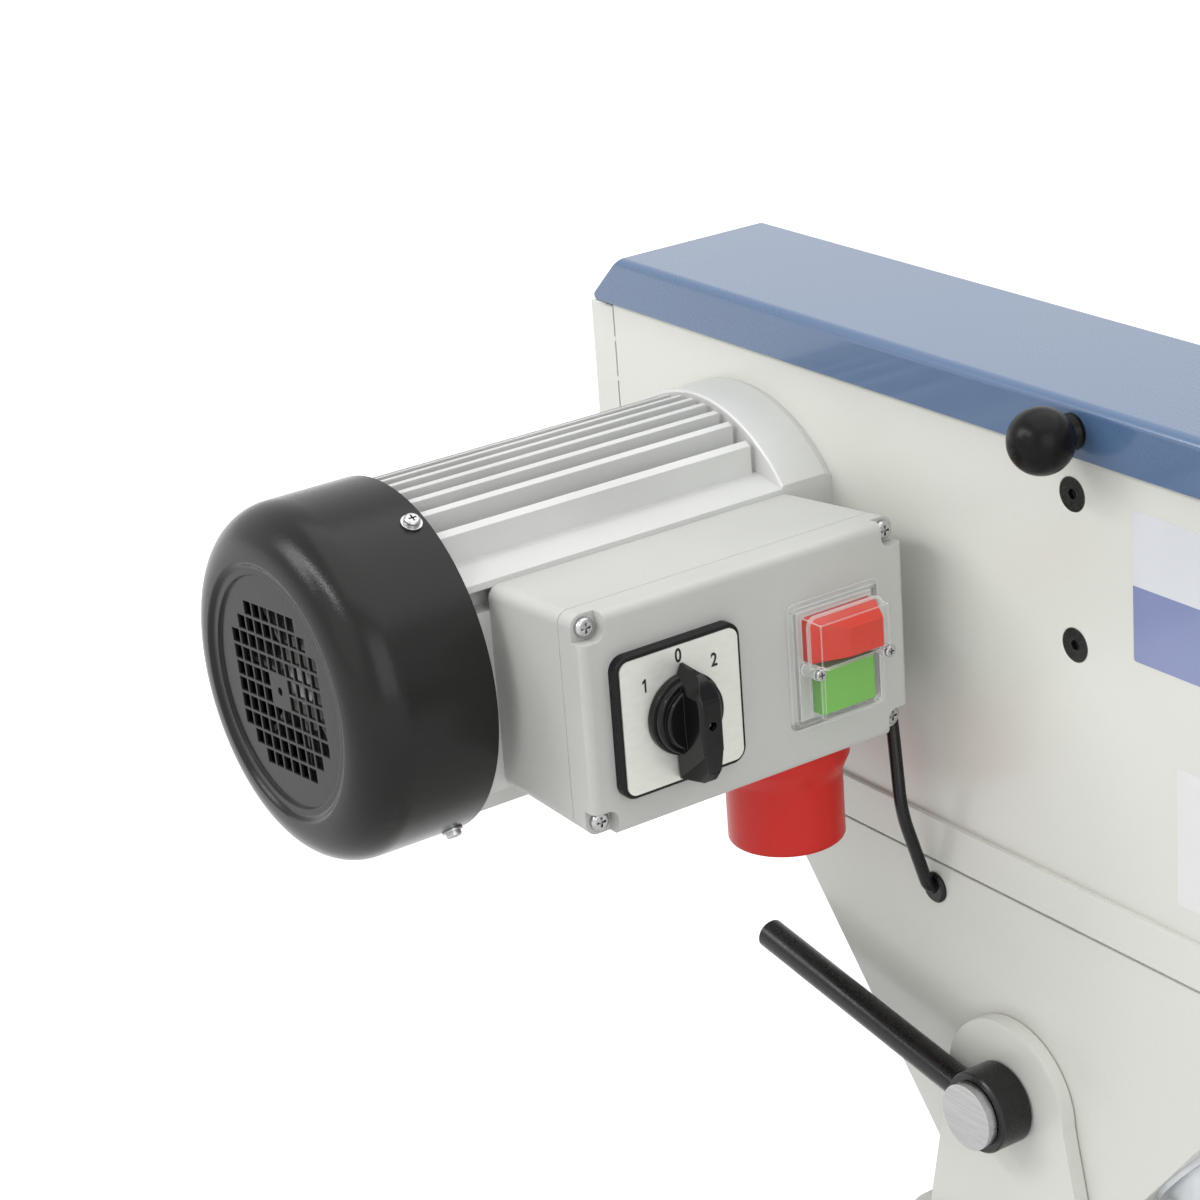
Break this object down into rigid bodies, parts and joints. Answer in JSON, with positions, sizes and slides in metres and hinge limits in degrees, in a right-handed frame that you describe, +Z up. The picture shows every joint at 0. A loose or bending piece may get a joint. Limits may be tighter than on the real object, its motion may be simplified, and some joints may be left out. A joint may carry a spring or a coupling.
{
  "type": "stationary belt grinder",
  "caption": "Floor-standing two-speed belt grinder: tilting head with hinged lid over a flat platen, finned motor with fan cowl, flared switch box, contact wheel and work rest.",
  "frame": {"origin": "on the floor, in the middle of the four anchor holes of the base plate, under the tilt pivot", "axes": "+X towards the contact wheel and the operator, +Y away from the motor, +Z up"},
  "size_m": [1.0177, 0.5385, 1.0734],
  "materials": {
    "head_paint": "light grey gloss powder coat",
    "stand_paint": "light grey gloss powder coat",
    "lid_paint": "slate blue gloss powder coat",
    "motor_paint": "silver grey paint on cast aluminium",
    "cowl_black": "satin black paint",
    "dark_steel": "black oxide",
    "bright_steel": "machined or zinc plated",
    "zinc_sheet": "zinc plated sheet",
    "wheel_aluminium": "turned",
    "plate_silver": "satin foil plate",
    "black_plastic": "satin black",
    "box_plastic": "fine grained grey",
    "fan_plastic": "pale moulded plastic",
    "stop_red": "gloss red",
    "start_green": "gloss green",
    "inlet_red": "satin red",
    "clear_plastic": "clear moulded plastic",
    "pin_brass": "turned",
    "black_rubber": "smooth black",
    "tyre_rubber": "ground rubber",
    "belt_abrasive": "coated abrasive on cloth"
  },
  "bodies": {
    "stand": {"base_plate": "stand_paint", "column": "stand_paint", "fork_head": "stand_paint", "pivot_pin": "bright_steel"},
    "head": {"tilt_bracket": "head_paint", "dust_spout": "zinc_sheet", "base_tray": "head_paint", "motor_wall": "head_paint", "rear_panel": "head_paint", "top_rail": "head_paint", "hinge_leaves": "dark_steel", "wheel_hood": "head_paint", "platen": "bright_steel", "platen_brackets": "dark_steel", "platen_screws": "dark_steel", "sanding_belt": "belt_abrasive", "motor_flange": "motor_paint", "motor_frame": "motor_paint", "motor_rear_shield": "motor_paint", "motor_bearings": "bright_steel", "fan_cowl": "cowl_black", "cowl_screws": "bright_steel", "hex_bolts": "bright_steel", "switch_box_base": "box_plastic", "switch_box_cover": "box_plastic", "box_screws": "bright_steel", "dial_bezel": "black_plastic", "dial_plate": "plate_silver", "cam_switch": "black_plastic", "button_frame": "box_plastic", "clear_cover": "clear_plastic", "mains_inlet": "inlet_red", "inlet_core": "black_plastic", "inlet_pins": "pin_brass", "control_cable": "black_rubber", "cable_grommets": "black_rubber", "tension_guides": "dark_steel", "tension_spring": "bright_steel", "rest_arm": "dark_steel"},
    "clamp": {"clamp_lever": "dark_steel"},
    "rotor": {"drive_wheel": "wheel_aluminium", "wheel_bolt": "bright_steel", "motor_shaft": "bright_steel", "fan": "fan_plastic"},
    "tension_carriage": {"tension_slide": "bright_steel", "contact_axle": "bright_steel"},
    "contact_wheel": {"contact_core": "wheel_aluminium", "contact_tyre": "tyre_rubber", "contact_bearings": "bright_steel"},
    "release_lever": {"tension_lever": "black_plastic"},
    "lid_assembly": {"lid": "lid_paint", "lid_knob": "black_plastic"},
    "door": {"far_door": "head_paint"},
    "latch": {"door_latch": "black_plastic"},
    "knob": {"speed_knob": "black_plastic"},
    "stop": {"stop_button": "stop_red"},
    "start": {"start_button": "start_green"},
    "rest": {"rest_table": "bright_steel"},
    "rest_clamp": {"rest_knob": "black_plastic"},
    "shield": {"eye_shield": "clear_plastic"}
  },
  "joints": [
    {"name": "head_tilt", "type": "hinge", "parent": "stand", "child": "head", "pos_m": [0, 0, 0.6596], "axis": [0, -1, 0], "range_deg": [0, 40]},
    {"name": "clamp_turn", "type": "hinge", "parent": "stand", "child": "clamp", "pos_m": [0, -0.0655, 0.6596], "axis": [0, -1, 0], "range_deg": [0, 35]},
    {"name": "motor_spin", "type": "hinge", "parent": "head", "child": "rotor", "pos_m": [-0.195, 0, 0.9], "axis": [0, 1, 0], "continuous": true},
    {"name": "tension_travel", "type": "slide", "parent": "head", "child": "tension_carriage", "axis": [1, 0, 0], "range_m": [-0.02, 0], "stiffness_N_per_m": 8000, "springref_m": 0.02, "deforming": ["tension_spring"]},
    {"name": "contact_spin", "type": "hinge", "parent": "tension_carriage", "child": "contact_wheel", "pos_m": [0.49398, 0, 0.9], "axis": [0, 1, 0], "continuous": true},
    {"name": "release_turn", "type": "hinge", "parent": "head", "child": "release_lever", "pos_m": [0.47398, -0.064, 0.822], "axis": [0, 1, 0], "range_deg": [-17, 0]},
    {"name": "lid_hinge", "type": "hinge", "parent": "head", "child": "lid_assembly", "pos_m": [0, 0.053, 1.0042], "axis": [-1, 0, 0], "range_deg": [0, 105]},
    {"name": "door_hinge", "type": "hinge", "parent": "head", "child": "door", "pos_m": [-0.3089, 0.049, 0.9], "axis": [0, 0, 1], "range_deg": [0, 110]},
    {"name": "latch_turn", "type": "hinge", "parent": "door", "child": "latch", "pos_m": [0.365, 0.0455, 0.974], "axis": [0, -1, 0], "range_deg": [0, 90]},
    {"name": "speed_select", "type": "hinge", "parent": "head", "child": "knob", "pos_m": [-0.041, -0.2029, 0.9006], "axis": [1, 0, 0], "range_deg": [-45, 45]},
    {"name": "stop_press", "type": "slide", "parent": "head", "child": "stop", "axis": [-1, 0, 0], "range_m": [0, 0.004], "stiffness_N_per_m": 800},
    {"name": "start_press", "type": "slide", "parent": "head", "child": "start", "axis": [-1, 0, 0], "range_m": [0, 0.004], "stiffness_N_per_m": 800},
    {"name": "rest_slide", "type": "slide", "parent": "head", "child": "rest", "axis": [1, 0, 0], "range_m": [0, 0.03]},
    {"name": "rest_clamp_turn", "type": "hinge", "parent": "rest", "child": "rest_clamp", "pos_m": [0.63168, 0, 0.872], "axis": [0, 0, 1], "range_deg": [0, 270]},
    {"name": "shield_hinge", "type": "hinge", "parent": "head", "child": "shield", "pos_m": [0.57956, 0, 1.00953], "axis": [0, 1, 0], "range_deg": [0, 140]}
  ],
  "couplings": [
    {"joint": "contact_spin", "follows": "motor_spin", "ratio": 1},
    {"joint": "release_turn", "follows": "tension_travel", "rad_per_m": 14.71}
  ]
}
